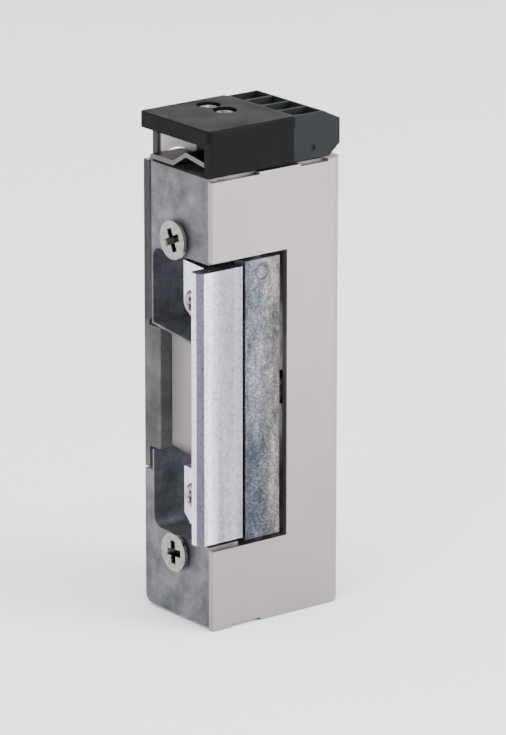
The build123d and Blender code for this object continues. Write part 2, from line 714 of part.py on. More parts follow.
def coil_core():
    """The flat iron bar through the coil and the yoke."""
    return around_coil(CORE_HALF_X, CORE_HALF_Y, COIL_BOTTOM, COIL_TOP + YOKE)


def coil_bobbin():
    """The coil former, with a flange at each end."""
    wall = BOBBIN_WALL
    former = around_coil(CORE_HALF_X + wall, CORE_HALF_Y + wall, COIL_BOTTOM, COIL_TOP)
    for z in (COIL_BOTTOM, COIL_TOP - FLANGE):
        former = former + around_coil(COIL_HALF_X, COIL_HALF_Y, z, z + FLANGE)
    return former - coil_core()


def coil_winding():
    """The copper winding between the former's flanges."""
    low = COIL_BOTTOM + FLANGE
    high = COIL_TOP - FLANGE
    wall = BOBBIN_WALL
    outer = around_coil(COIL_HALF_X - WINDING_INSET, COIL_HALF_Y - WINDING_INSET, low, high)
    outer = fillet(outer.edges().filter_by(Axis.Z), WINDING_CORNER)
    return outer - around_coil(CORE_HALF_X + wall, CORE_HALF_Y + wall, low, high)


def yoke():
    """The iron yoke: a back leg beside the coil and a top leg that holds the core."""
    y0 = COIL_Y - COIL_HALF_Y
    y1 = COIL_Y + COIL_HALF_Y
    top = COIL_TOP + YOKE
    leg = box(CASTING_BACK - YOKE, CASTING_BACK, y0, y1, COIL_BOTTOM + YOKE_FOOT, top)
    return leg + box(YOKE_FRONT_X, CASTING_BACK, y0, y1, COIL_TOP, top) - coil_core()


def coil_leads():
    """Two stiff leads from the coil former up to the contact carrier."""
    placed = []
    for y in LEAD_YS:
        lead = rod_z(LEAD_X, y, LEAD_LOW, LEAD_BEND_Z, LEAD_R)
        lead = lead + rod_x(LEAD_X, COIL_X - COIL_HALF_X, y, LEAD_LOW, LEAD_R)
        lead = lead + rod_x(LEAD_BEND_X, LEAD_X, y, LEAD_BEND_Z, LEAD_R)
        placed.append(lead + rod_z(LEAD_BEND_X, y, LEAD_BEND_Z, BODY_HALF_HEIGHT, LEAD_R))
    return Compound(children=placed)


def top_cap():
    """The black cap: a top plate, a wall on the keeper side and one behind the tab."""
    side_y = BODY_HALF_WIDTH
    low_y = -side_y + CAP_STEP
    front = CAP_FRONT_X + CAP_STEP
    under = CAP_TOP - CAP_PLATE
    step = CAP_TOP - CAP_LIP
    rim = box(CAP_FRONT_X, CAP_BACK_X, -side_y, side_y + CAP_STEP, step, CAP_TOP)
    rim = fillet(rim.edges().filter_by(Axis.Z).group_by(Axis.X)[0], CAP_CORNER)
    rim = fillet(rim.faces().sort_by(Axis.Z)[-1].edges(), CAP_EDGE)
    cap = rim + box(front, CAP_BACK_X, low_y, side_y, under, step)
    cap = cap + box(front, CAP_BACK_X, low_y, low_y + CAP_WALL, CAP_BOTTOM, under)
    cap = cap + box(CAP_REAR_WALL_X, CAP_BACK_X, side_y - CAP_WALL, side_y, CAP_BOTTOM, under)
    for y in CAP_SCREW_YS:
        cap = cap - rod_z(CAP_SCREW_X, y, CAP_SEAT_Z, CAP_TOP + 1, CAP_HOLE_R)
        cap = cap - rod_z(CAP_SCREW_X, y, under - 1, CAP_TOP, CAP_SHANK_R)
    return cap


def cap_screws():
    """Two small cross-head screws sunk in the cap."""
    screw = pan_screw(CAP_HEAD_R, CAP_HEAD, CAP_SHANK_R, CAP_SCREW_LENGTH)
    placed = []
    for turn, y in zip(CAP_SCREW_TURNS, CAP_SCREW_YS):
        placed.append(Pos(CAP_SCREW_X, y, CAP_SEAT_Z) * Rot(0, 0, turn) * screw)
    return Compound(children=placed)


def pole_centres():
    """The middle of each terminal pole along Y."""
    return [TERMINAL_Y0 + PITCH * (pole + 0.5) for pole in range(POLES)]


def contact_pins():
    """Flat pins that join the contact carrier to the wire clamps."""
    pins = []
    for y in pole_centres():
        pins.append(box(PIN_X0, CAGE_X0, y - PIN_HALF, y + PIN_HALF, PIN_Z, PIN_Z + PIN_SHEET))
    return Compound(children=pins)


def contact_carrier():
    """The insulating block under the cap that the cap screws bite into."""
    under = CAP_TOP - CAP_PLATE
    block = box(CARRIER_X0, CARRIER_X1, CARRIER_Y0, CARRIER_Y1, BODY_HALF_HEIGHT, under)
    for y in CAP_SCREW_YS:
        block = block - rod_z(CAP_SCREW_X, y, CAP_SEAT_Z - CAP_SCREW_LENGTH, CAP_TOP, CAP_SHANK_R)
    return block - contact_pins()


def terminal_block():
    """The grey four-pole terminal block, bevelled at the back."""
    front = CAP_BACK_X + BLOCK_GAP
    top = CAP_TOP - BLOCK_DROP
    outline = [
        (front, CAP_BOTTOM),
        (TERMINAL_BACK_X - FOOT_CHAMFER_X, CAP_BOTTOM),
        (TERMINAL_BACK_X, CAP_BOTTOM + FOOT_CHAMFER_Z),
        (TERMINAL_BACK_X, CAP_TOP - TERMINAL_CHAMFER_SIDE),
        (TERMINAL_BACK_X - TERMINAL_CHAMFER_TOP, top),
        (front, top),
    ]
    block = side(outline, TERMINAL_Y0, TERMINAL_Y0 + PITCH * POLES)
    low = WIRE_Z - WIRE_HALF
    for y in pole_centres():
        half = WELL_WIDTH / 2
        block = block - box(WELL_X0, WELL_X1, y - half, y + half, WELL_FLOOR, CAP_TOP + 1)
        block = block - box(
            WELL_X1 - 1, TERMINAL_BACK_X + 1, y - WIRE_HALF, y + WIRE_HALF, low, low + 2 * WIRE_HALF
        )
    dimple = rod_y(DIMPLE_X, TERMINAL_Y0 - 1, TERMINAL_Y0 + DIMPLE_DEPTH, DIMPLE_Z, DIMPLE_R)
    return block - dimple - contact_pins()


def wire_clamps():
    """Brass cages that clamp the wires, one in each well."""
    hole = CAGE_HOLE_HALF
    placed = []
    for y in pole_centres():
        cage = box(CAGE_X0, CAGE_X1, y - CAGE_HALF, y + CAGE_HALF, WELL_FLOOR, CAGE_TOP)
        cage = cage - box(CAGE_X0 - 1, CAGE_X1 + 1, y - hole, y + hole, WIRE_Z - hole, WIRE_Z + hole)
        placed.append(cage - rod_z(WELL_MID_X, y, WIRE_Z, CAGE_TOP + 1, TERMINAL_SCREW_R))
    return Compound(children=placed)


def terminal_screws():
    """Slotted screws that close the wire clamps."""
    head_top = CAGE_TOP + TERMINAL_HEAD
    placed = []
    for y in pole_centres():
        screw = rod_z(WELL_MID_X, y, CAGE_TOP, head_top, TERMINAL_HEAD_R)
        screw = screw + rod_z(WELL_MID_X, y, WIRE_Z + CAGE_HOLE_HALF, CAGE_TOP, TERMINAL_SCREW_R)
        slot = box(
            WELL_MID_X - 2, WELL_MID_X + 2, y - SLOT_HALF, y + SLOT_HALF, head_top - SLOT_DEPTH, CAP_TOP
        )
        placed.append(screw - slot)
    return Compound(children=placed)


PARTS = {
    "housing": housing,
    "cover_plate": cover_plate,
    "cover_rivets": cover_rivets,
    "side_plate": side_plate,
    "latch_post": latch_post,
    "rear_guide": rear_guide,
    "faceplate_screws": faceplate_screws,
    "leaf_strip": leaf_strip,
    "keeper_axle": keeper_axle,
    "keeper_body": keeper_body,
    "keeper_lip": keeper_lip,
    "clamp_screws": clamp_screws,
    "clamp_washers": clamp_washers,
    "keeper_spring": keeper_spring,
    "locking_lever": locking_lever,
    "lever_pin": lever_pin,
    "armature": armature,
    "armature_pin": armature_pin,
    "armature_spring": armature_spring,
    "coil_core": coil_core,
    "coil_bobbin": coil_bobbin,
    "coil_winding": coil_winding,
    "yoke": yoke,
    "coil_leads": coil_leads,
    "top_cap": top_cap,
    "cap_screws": cap_screws,
    "contact_pins": contact_pins,
    "contact_carrier": contact_carrier,
    "terminal_block": terminal_block,
    "wire_clamps": wire_clamps,
    "terminal_screws": terminal_screws,
}

os.makedirs("parts", exist_ok=True)
for name, make in PARTS.items():
    export_step(make(), f"parts/{name}.step")
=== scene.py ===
# %% [markdown]
# An electric door strike is the metal box in a door frame that holds the latch
# until a coil lets go of it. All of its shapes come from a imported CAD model,
# down to the screws' cross recesses. This lesson adds what that model leaves
# out: softened edges, wear and stains, and a finish for every metal and
# plastic. The frame is loaded first, because everything else depends on it.

# %% Load the frame
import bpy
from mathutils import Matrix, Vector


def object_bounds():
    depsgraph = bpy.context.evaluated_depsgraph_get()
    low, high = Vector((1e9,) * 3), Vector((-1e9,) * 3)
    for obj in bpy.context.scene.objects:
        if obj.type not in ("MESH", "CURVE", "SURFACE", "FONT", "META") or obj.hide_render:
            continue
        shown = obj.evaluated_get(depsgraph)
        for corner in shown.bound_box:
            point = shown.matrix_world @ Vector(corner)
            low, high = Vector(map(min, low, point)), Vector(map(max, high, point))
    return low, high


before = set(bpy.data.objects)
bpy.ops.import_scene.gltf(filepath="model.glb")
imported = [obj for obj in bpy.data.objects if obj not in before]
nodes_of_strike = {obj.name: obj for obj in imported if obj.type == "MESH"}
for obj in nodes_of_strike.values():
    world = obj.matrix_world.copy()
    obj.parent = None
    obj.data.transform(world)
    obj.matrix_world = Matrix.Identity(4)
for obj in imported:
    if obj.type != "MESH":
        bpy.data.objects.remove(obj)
cad_low, cad_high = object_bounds()

import math
import bmesh
import bpy
from mathutils import Vector

MM = 0.001

# %% [markdown]
# The camera is set up before any finish is mixed, since a finish can only be
# judged from where it is seen. A long lens from three quarters of a metre away
# keeps the tall sides almost parallel, as in a catalogue. The camera could be
# aimed with a constraint, but working out one rotation keeps it free to move.

# %% Place the camera
AZIMUTH = math.radians(-37.49)
ELEVATION = math.radians(16.96)
CAMERA_DISTANCE = 0.7454
aim = Vector((11.5 * MM, 0, 0))
towards_camera = Vector(
    (
        math.sin(AZIMUTH) * math.cos(ELEVATION),
        -math.cos(AZIMUTH) * math.cos(ELEVATION),
        math.sin(ELEVATION),
    )
)
lens = bpy.data.cameras.new("catalogue_lens")
lens.sensor_width = 36
lens.lens = 256.7
lens.shift_x = 0.0131
lens.shift_y = 0.0195
lens.clip_start = 0.05
lens.clip_end = 20
camera = bpy.data.objects.new("catalogue_camera", lens)
camera.location = aim + towards_camera * CAMERA_DISTANCE
camera.rotation_mode = "QUATERNION"
camera.rotation_quaternion = (-towards_camera).to_track_quat("-Z", "Y")
bpy.context.scene.collection.objects.link(camera)
bpy.context.scene.camera = camera
print("camera in mm", [round(v / MM) for v in camera.location])

# %% [markdown]
# The strike stands on a pale table that curves up into a backdrop, so no edge
# of the room is reflected in the plated steel. A flat plane would do for the
# shadow, but its far edge would show as a line. One grid is bent instead: flat
# under the strike, then rising on a smooth curve all round it.

# %% Bend a table into a backdrop
TABLE_HALF_WIDTH = 1.6
TABLE_CELLS = 60
FLAT_RADIUS = 0.7
BACKDROP_RISE = 0.9
TABLE_GAP = 0.02 * MM


def pale_sweep(low_z):
    """A wide floor that is flat near the strike and rises far away from it."""
    sweep = bmesh.new()
    bmesh.ops.create_grid(
        sweep, x_segments=TABLE_CELLS, y_segments=TABLE_CELLS, size=TABLE_HALF_WIDTH
    )
    for corner in sweep.verts:
        away = max(0.0, corner.co.xy.length - FLAT_RADIUS)
        corner.co.z = low_z + away * away * BACKDROP_RISE
    mesh = bpy.data.meshes.new("pale_table")
    sweep.to_mesh(mesh)
    sweep.free()
    mesh.shade_smooth()
    table = bpy.data.objects.new("pale_table", mesh)
    bpy.context.scene.collection.objects.link(table)
    return table


table = pale_sweep(cad_low.z - TABLE_GAP)
print("table top at mm", round((cad_low.z - TABLE_GAP) / MM, 2))

# %% [markdown]
# Plated steel shows its surroundings more than its own colour. Three large soft
# lights do most of the work: one high on the right brightens the cover, a weaker
# one on the left keeps the casting's face a shade darker, and one overhead lifts
# the cap. A bright room fills the rest. It is dark on one side only: plated edges
# look flat in an even light, and a dark patch to reflect gives them their crisp
# grey bands. Black cards would do that too, but a shaded sky adds no object.

# %% Set soft lights
def soft_light(name, place, power, width):
    """A square light panel that faces the middle of the strike."""
    panel = bpy.data.lights.new(name, "AREA")
    panel.energy = power
    panel.size = width
    light = bpy.data.objects.new(name, panel)
    light.location = place
    light.rotation_mode = "QUATERNION"
    light.rotation_quaternion = (aim - Vector(place)).to_track_quat("-Z", "Y")
    bpy.context.scene.collection.objects.link(light)
    return light


soft_light("window_right", (0.45, -0.70, 0.35), 13.0, 0.5)
soft_light("window_left", (-0.80, -0.32, 0.22), 7.0, 0.4)
soft_light("ceiling_panel", (-0.1, -0.1, 0.95), 10.0, 0.8)
print("lights", len(bpy.data.lights))


BRIGHT_ROOM = 1.35
DARK_SIDE = 0.12
SHADE_STARTS = 0.72
SHADE_IS_FULL = 0.95
TOWARDS_VIEWER = (-0.64, -0.77, 0.0)


def studio_sky():
    """A bright room that is dark on the side the viewer stands on."""
    sky = bpy.data.worlds.new("studio_sky")
    sky.use_nodes = True
    nodes, links = sky.node_tree.nodes, sky.node_tree.links
    direction = nodes.new("ShaderNodeTexCoord")
    towards_viewer = nodes.new("ShaderNodeVectorMath")
    towards_viewer.operation = "DOT_PRODUCT"
    towards_viewer.inputs[1].default_value = TOWARDS_VIEWER
    links.new(direction.outputs["Generated"], towards_viewer.inputs[0])
    shade = nodes.new("ShaderNodeMapRange")
    shade.interpolation_type = "SMOOTHSTEP"
    shade.inputs["From Min"].default_value = SHADE_STARTS
    shade.inputs["From Max"].default_value = SHADE_IS_FULL
    shade.inputs["To Min"].default_value = BRIGHT_ROOM
    shade.inputs["To Max"].default_value = DARK_SIDE
    links.new(towards_viewer.outputs["Value"], shade.inputs["Value"])
    links.new(shade.outputs["Result"], nodes["Background"].inputs["Strength"])
    nodes["Background"].inputs["Color"].default_value = (0.96, 0.97, 1.0, 1)
    return sky


bpy.context.scene.world = studio_sky()
print("sky", bpy.context.scene.world.name)

# %% [markdown]
# Every finish below is a small graph of nodes on one Principled shader. They
# share three habits. Patterns are measured in millimetres on the object
# itself, so a grain has the same size on every piece. Colour wanders between
# two or three tones. The same pattern, or a finer one, mostly drives roughness
# and a slight bump, because on real metal stain, polish and relief go together.

# %% Share the bench tools of every finish
def new_finish(name, metal):
    """An empty finish: the material, its nodes, its links and its shader."""
    finish = bpy.data.materials.new(name)
    finish.use_nodes = True
    shader = finish.node_tree.nodes["Principled BSDF"]
    shader.inputs["Metallic"].default_value = metal
    return finish, finish.node_tree.nodes, finish.node_tree.links, shader


def in_millimetres(nodes, links, stretch=(1, 1, 1)):
    """The object's own coordinates in millimetres, stretched along an axis for a grain."""
    place = nodes.new("ShaderNodeTexCoord")
    ruler = nodes.new("ShaderNodeMapping")
    ruler.inputs["Scale"].default_value = [1000 * s for s in stretch]
    links.new(place.outputs["Object"], ruler.inputs["Vector"])
    return ruler.outputs["Vector"]


def noise(nodes, links, where, per_mm, detail=3.0, rough=0.55):
    """Cloudy noise with a given number of clouds to the millimetre."""
    cloud = nodes.new("ShaderNodeTexNoise")
    cloud.inputs["Scale"].default_value = per_mm
    cloud.inputs["Detail"].default_value = detail
    cloud.inputs["Roughness"].default_value = rough
    links.new(where, cloud.inputs["Vector"])
    return cloud.outputs["Fac"]


def tones(nodes, links, fac, stops):
    """Turns a 0 to 1 pattern into colours at given stops."""
    ramp = nodes.new("ShaderNodeValToRGB")
    stop_list = ramp.color_ramp.elements
    for index, (position, colour) in enumerate(stops):
        stop = stop_list[index] if index < 2 else stop_list.new(position)
        stop.position = position
        stop.color = (*colour, 1)
    links.new(fac, ramp.inputs["Fac"])
    return ramp.outputs["Color"]


def rescale(nodes, links, fac, low, high, start=0.3, end=0.7):
    """Maps the busy middle of a noise onto a range of values."""
    remap = nodes.new("ShaderNodeMapRange")
    remap.inputs["From Min"].default_value = start
    remap.inputs["From Max"].default_value = end
    remap.inputs["To Min"].default_value = low
    remap.inputs["To Max"].default_value = high
    links.new(fac, remap.inputs["Value"])
    return remap.outputs["Result"]


def overlay(nodes, links, lower, upper, amount, blend="MULTIPLY"):
    """Lays one colour pattern over another."""
    mix = nodes.new("ShaderNodeMix")
    mix.data_type = "RGBA"
    mix.blend_type = blend
    mix.inputs["Factor"].default_value = amount
    links.new(lower, mix.inputs["A"])
    links.new(upper, mix.inputs["B"])
    return mix.outputs["Result"]


def relief(nodes, links, shader, *layers):
    """Stacks bumps: each layer is a pattern and its height in millimetres."""
    normal = None
    for pattern, height in layers:
        bump = nodes.new("ShaderNodeBump")
        bump.inputs["Strength"].default_value = 1.0
        bump.inputs["Distance"].default_value = height * MM
        links.new(pattern, bump.inputs["Height"])
        if normal is not None:
            links.new(normal, bump.inputs["Normal"])
        normal = bump.outputs["Normal"]
    links.new(normal, shader.inputs["Normal"])


def facing(nodes, links, direction, start, end):
    """1 where the surface faces a direction of its own object, 0 where it turns away."""
    surface = nodes.new("ShaderNodeTexCoord")
    dot = nodes.new("ShaderNodeVectorMath")
    dot.operation = "DOT_PRODUCT"
    dot.inputs[1].default_value = direction
    links.new(surface.outputs["Normal"], dot.inputs[0])
    return rescale(nodes, links, dot.outputs["Value"], 0.0, 1.0, start, end)


def along(nodes, links, where, axis, start, end):
    """0 before one place along an axis and 1 after another, in millimetres."""
    split = nodes.new("ShaderNodeSeparateXYZ")
    links.new(where, split.inputs["Vector"])
    return rescale(nodes, links, split.outputs[axis], 0.0, 1.0, start, end)


def tint(nodes, links, shader, mask, amount):
    """Multiplies the base colour by an amount wherever a mask is 1."""
    under = shader.inputs["Base Color"].links[0].from_socket
    change = tones(nodes, links, mask, [(0.0, (1, 1, 1)), (1.0, amount)])
    links.new(overlay(nodes, links, under, change, 1.0), shader.inputs["Base Color"])


def both(nodes, links, first, second):
    """1 only where two masks are both 1."""
    product = nodes.new("ShaderNodeMath")
    product.operation = "MULTIPLY"
    links.new(first, product.inputs[0])
    links.new(second, product.inputs[1])
    return product.outputs["Value"]


print("finish helpers ready")

# %% [markdown]
# The housing is die-cast zinc. Out of the mould it is dull grey with darker
# flow stains a few millimetres across, a fine grainy skin, and here and there
# a lighter rubbed patch. It could be one noise, but three sizes of noise look
# closer: broad stains for colour and polish, small flecks, and a fine grain.
# The floor of the latch pocket and the inner face of the post are tinted
# lighter. This is painted light: it lifts faces that lie in shade inside the
# pocket, and the tint was chosen for how bright those faces look.

# %% Mix die-cast zinc
def cast_zinc(name, dark, middle, light, inside=1.0, grain=0.012, stain_per_mm=0.22):
    """Dull zinc with flow stains, rubbed patches, a grainy skin and painted light in the pocket."""
    finish, nodes, links, shader = new_finish(name, 0.85)
    where = in_millimetres(nodes, links)
    stains = noise(nodes, links, where, stain_per_mm, 6.0, 0.62)
    speckle = noise(nodes, links, where, 2.6, 3.0, 0.6)
    colour = tones(nodes, links, stains, [(0.30, dark), (0.72, light), (0.50, middle)])
    flecks = tones(nodes, links, speckle, [(0.32, (0.72, 0.72, 0.74)), (0.62, (1, 1, 1))])
    links.new(overlay(nodes, links, colour, flecks, 0.75), shader.inputs["Base Color"])
    links.new(rescale(nodes, links, stains, 0.62, 0.42), shader.inputs["Roughness"])
    fine = noise(nodes, links, where, 7.0, 2.0, 0.5)
    relief(nodes, links, shader, (speckle, grain * 2), (fine, grain))
    # Painted light: the floor deep in the latch pocket is tinted about four times lighter.
    deep = along(nodes, links, where, "X", 5.6, 6.4)
    floor = both(nodes, links, facing(nodes, links, (-1, 0, 0), 0.7, 0.95), deep)
    tint(nodes, links, shader, floor, (4.2, 4.5, 4.6))
    # Painted light: the post's inner face is tinted by the amount inside.
    near_front = along(nodes, links, where, "X", 3.2, 2.8)
    post_face_painted_light = both(nodes, links, facing(nodes, links, (0, -1, 0), 0.85, 0.97), near_front)
    tint(nodes, links, shader, post_face_painted_light, (inside, inside, inside))
    return finish


housing_zinc = cast_zinc(
    "housing_zinc", (0.062, 0.065, 0.072), (0.120, 0.122, 0.133), (0.205, 0.205, 0.215)
)
# For the post, inside is 2.6: painted light on its inner face.
post_zinc = cast_zinc(
    "post_zinc", (0.048, 0.047, 0.045), (0.075, 0.074, 0.071), (0.11, 0.107, 0.103), 2.6
)
print("mixed", housing_zinc.name, post_zinc.name)

# %% [markdown]
# The keeper's bar is the same zinc, left rougher: bluish, with dark blotches
# drawn out along the bar and light flecks such as a tumbling drum leaves. Two
# stretched noises give the long blotches and broader patches, and the place
# across the bar sets a brownish stain on the side away from the lip. A faint
# ring near the top is a mark of the kind that a mould's ejector pin leaves.

# %% Mix the rough bar of the keeper
MARK_CENTRE = (8.7, 0.0, 18.6)
MARK_RADIUS = 1.1
MARK_WIDTH = 0.35


def ring(nodes, links, where, centre, radius, width):
    """1 on a ring in the plane of X and Z, fading out to either side."""
    flat = nodes.new("ShaderNodeVectorMath")
    flat.operation = "MULTIPLY"
    flat.inputs[1].default_value = (1, 0, 1)
    links.new(where, flat.inputs[0])
    away = nodes.new("ShaderNodeVectorMath")
    away.operation = "DISTANCE"
    away.inputs[1].default_value = centre
    links.new(flat.outputs["Vector"], away.inputs[0])
    grow = rescale(nodes, links, away.outputs["Value"], 0.0, 1.0, radius - width, radius)
    fade = rescale(nodes, links, away.outputs["Value"], 1.0, 0.0, radius, radius + width)
    return both(nodes, links, grow, fade)


def tumbled_zinc():
    """Rough bluish zinc with long blotches and scuffs."""
    finish, nodes, links, shader = new_finish("tumbled_zinc", 0.85)
    where = in_millimetres(nodes, links)
    drawn_out = in_millimetres(nodes, links, (1.0, 1.0, 0.35))
    blotches = noise(nodes, links, drawn_out, 0.30, 8.0, 0.72)
    colour = tones(
        nodes, links, blotches,
        [
            (0.38, (0.050, 0.055, 0.064)),
            (0.62, (0.205, 0.210, 0.220)),
            (0.50, (0.112, 0.117, 0.127)),
        ],
    )
    speckle = noise(nodes, links, where, 3.2, 4.0, 0.7)
    flecks = tones(
        nodes, links, speckle,
        [(0.38, (0.42, 0.44, 0.48)), (0.66, (2.0, 2.0, 2.0)), (0.56, (1.0, 1.0, 1.0))],
    )
    grained = overlay(nodes, links, colour, flecks, 0.9)
    broad = noise(nodes, links, drawn_out, 0.11, 3.0, 0.5)
    patches = tones(nodes, links, broad, [(0.38, (0.62, 0.63, 0.66)), (0.60, (1.22, 1.22, 1.20))])
    grained = overlay(nodes, links, grained, patches, 0.9)
    far_side = along(nodes, links, where, "X", 7.0, 11.5)
    stain = tones(nodes, links, far_side, [(0.0, (0.88, 0.96, 1.06)), (1.0, (1.04, 0.87, 0.72))])
    links.new(overlay(nodes, links, grained, stain, 0.9), shader.inputs["Base Color"])
    links.new(rescale(nodes, links, speckle, 0.6, 0.38), shader.inputs["Roughness"])
    mark = ring(nodes, links, where, MARK_CENTRE, MARK_RADIUS, MARK_WIDTH)
    tint(nodes, links, shader, mark, (0.42, 0.43, 0.47))
    relief(nodes, links, shader, (mark, 0.05), (blotches, 0.12), (speckle, 0.06))
    return finish


bar_zinc = tumbled_zinc()
print("mixed", bar_zinc.name)

# %% [markdown]
# The cover is thin steel with a nickel plate, slightly warm and almost
# smooth. What gives it away as real sheet is very faint: rolling lines along
# its length, and cloudy patches where the polish varies. It also gets a little
# darker towards the foot: painted shade, for the less light that reaches it.

# %% Mix nickel-plated sheet
def nickel_sheet(name, dark, light, rough_low, rough_high, metal=1.0):
    """Satin plate with faint rolling lines, cloudy polish and painted shade at the foot."""
    finish, nodes, links, shader = new_finish(name, metal)
    where = in_millimetres(nodes, links)
    rolled = in_millimetres(nodes, links, (1.0, 1.0, 0.02))
    clouds = noise(nodes, links, where, 0.05, 4.0, 0.5)
    lines = noise(nodes, links, rolled, 5.0, 3.0, 0.6)
    colour = tones(nodes, links, clouds, [(0.32, dark), (0.68, light)])
    streaks = tones(nodes, links, lines, [(0.35, (0.94, 0.94, 0.94)), (0.6, (1, 1, 1))])
    links.new(overlay(nodes, links, colour, streaks, 0.6), shader.inputs["Base Color"])
    # Painted shade: the sheet darkens from near its top towards its foot.
    shade_to_foot = along(nodes, links, where, "Z", 26.0, -33.0)
    tint(nodes, links, shader, shade_to_foot, (0.86, 0.86, 0.87))
    links.new(rescale(nodes, links, clouds, rough_low, rough_high), shader.inputs["Roughness"])
    skin = noise(nodes, links, where, 6.0, 2.0, 0.5)
    relief(nodes, links, shader, (lines, 0.0012), (skin, 0.0016))
    shader.inputs["Anisotropic"].default_value = 0.25
    return finish


cover_nickel = nickel_sheet(
    "cover_nickel", (0.325, 0.272, 0.276), (0.365, 0.308, 0.312), 0.36, 0.44
)
plate_nickel = nickel_sheet("plate_nickel", (0.34, 0.29, 0.295), (0.40, 0.34, 0.345), 0.42, 0.50)
leaf_steel = nickel_sheet("leaf_steel", (0.085, 0.083, 0.080), (0.16, 0.155, 0.15), 0.28, 0.38)
print("mixed", cover_nickel.name, plate_nickel.name, leaf_steel.name)

# %% [markdown]
# The side plate is the same sheet, but its inner face shows bright inside the
# dark latch pocket. A polished plate would mirror the pocket and look black, so
# this face gets painted light: a near-white colour that scatters light, and less
# metal in the shader wherever the surface faces inwards, behind the cast post.
# The front edge looks darker, like the bare steel of a sheared edge, and is tinted so.

# %% Paint light onto the inner face of the side plate
def paint_light_inside(finish):
    """Paints light onto the inward face of a plate: near-white and less metallic."""
    nodes, links = finish.node_tree.nodes, finish.node_tree.links
    shader = nodes["Principled BSDF"]
    inward = facing(nodes, links, (0, -1, 0), 0.85, 0.97)
    behind_post = along(nodes, links, in_millimetres(nodes, links), "X", 2.0, 2.4)
    inside = both(nodes, links, inward, behind_post)
    plated = shader.inputs["Base Color"].links[0].from_socket
    # Painted light: a near-white colour on the inward face, in the pocket's shade.
    painted_light = nodes.new("ShaderNodeMix")
    painted_light.data_type = "RGBA"
    painted_light.inputs["B"].default_value = (0.98, 0.87, 0.885, 1)
    links.new(inside, painted_light.inputs["Factor"])
    links.new(plated, painted_light.inputs["A"])
    links.new(painted_light.outputs["Result"], shader.inputs["Base Color"])
    metal = rescale(nodes, links, inside, 1.0, 0.0, 0.0, 1.0)
    links.new(metal, shader.inputs["Metallic"])
    sheared = facing(nodes, links, (-1, 0, 0), 0.85, 0.97)
    tint(nodes, links, shader, sheared, (0.12, 0.13, 0.135))


paint_light_inside(plate_nickel)
print("milky inside", plate_nickel.name)

# %% [markdown]
# The lip is the part a latch slides over, so it is cast, smoothed and plated
# bright. It keeps shallow ripples along its length, and specks where the
# plate is thin. Stretching the noise along the lip gives the ripples. The bevel
# at its nose is painted grey, a painted dark reflection, and the face beside it
# and the nose's front are painted brighter, a painted highlight. So colour
# follows both the way the surface faces and the place across the lip. No tone
# goes past full white, which no real surface can. The way it faces is asked of
# the lip itself, not of the room, because the lip swings: a mask tied to the
# room would slide off it as the keeper opens.

# %% Mix the bright lip
def bright_lip_plate():
    """Bright bluish plate with long ripples and thin specks."""
    finish, nodes, links, shader = new_finish("bright_lip_plate", 0.95)
    where = in_millimetres(nodes, links)
    drawn_out = in_millimetres(nodes, links, (1.0, 1.0, 0.05))
    ripples = noise(nodes, links, drawn_out, 0.9, 3.0, 0.5)
    specks = noise(nodes, links, where, 2.2, 6.0, 0.72)
    colour = tones(nodes, links, ripples, [(0.3, (0.33, 0.325, 0.37)), (0.7, (0.49, 0.48, 0.53))])
    thin = tones(nodes, links, specks, [(0.34, (0.50, 0.50, 0.53)), (0.58, (1.06, 1.06, 1.06))])
    plated = overlay(nodes, links, colour, thin, 0.8)
    outer = facing(nodes, links, (0, -1, 0), 0.90, 0.97)
    highlight_mask = both(nodes, links, outer, along(nodes, links, where, "X", 1.2, -0.4))
    # Painted highlight: these tones brighten the outer face near the nose.
    rubbed = tones(nodes, links, highlight_mask, [(0.0, (0.76, 0.755, 0.79)), (1.0, (1.8, 1.8, 1.65))])
    with_painted_highlight = overlay(nodes, links, plated, rubbed, 1.0)
    # Painted dark reflection: the bevel at the nose is painted grey.
    bevel = facing(nodes, links, (-0.707, -0.707, 0), 0.90, 0.97)
    painted_dark_bevel = tones(nodes, links, bevel, [(0.0, (1, 1, 1)), (1.0, (0.36, 0.36, 0.39))])
    links.new(overlay(nodes, links, with_painted_highlight, painted_dark_bevel, 1.0), shader.inputs["Base Color"])
    # Painted highlight on the faces of the nose that look forward.
    tint(nodes, links, shader, facing(nodes, links, (-1, 0, 0), 0.90, 0.97), (2.3, 2.3, 2.2))
    links.new(rescale(nodes, links, specks, 0.30, 0.18), shader.inputs["Roughness"])
    relief(nodes, links, shader, (ripples, 0.03), (specks, 0.010))
    return finish


lip_plate = bright_lip_plate()
print("mixed", lip_plate.name)

# %% [markdown]
# Small turned and drawn pieces, such as screws, pins and springs, are bright
# but never mirror-clean. One recipe with a few sets of numbers covers them all.
# Turning rings would be too fine to see at this size, so only scuffs are made.

# %% Mix the small bright metals
def small_metal(name, dark, light, rough, per_mm=1.4):
    """Scuffed bright metal for small turned or drawn pieces."""
    finish, nodes, links, shader = new_finish(name, 1.0)
    where = in_millimetres(nodes, links)
    scuffs = noise(nodes, links, where, per_mm, 4.0, 0.6)
    links.new(tones(nodes, links, scuffs, [(0.3, dark), (0.7, light)]), shader.inputs["Base Color"])
    links.new(rescale(nodes, links, scuffs, rough + 0.1, rough - 0.06), shader.inputs["Roughness"])
    relief(nodes, links, shader, (scuffs, 0.008))
    return finish


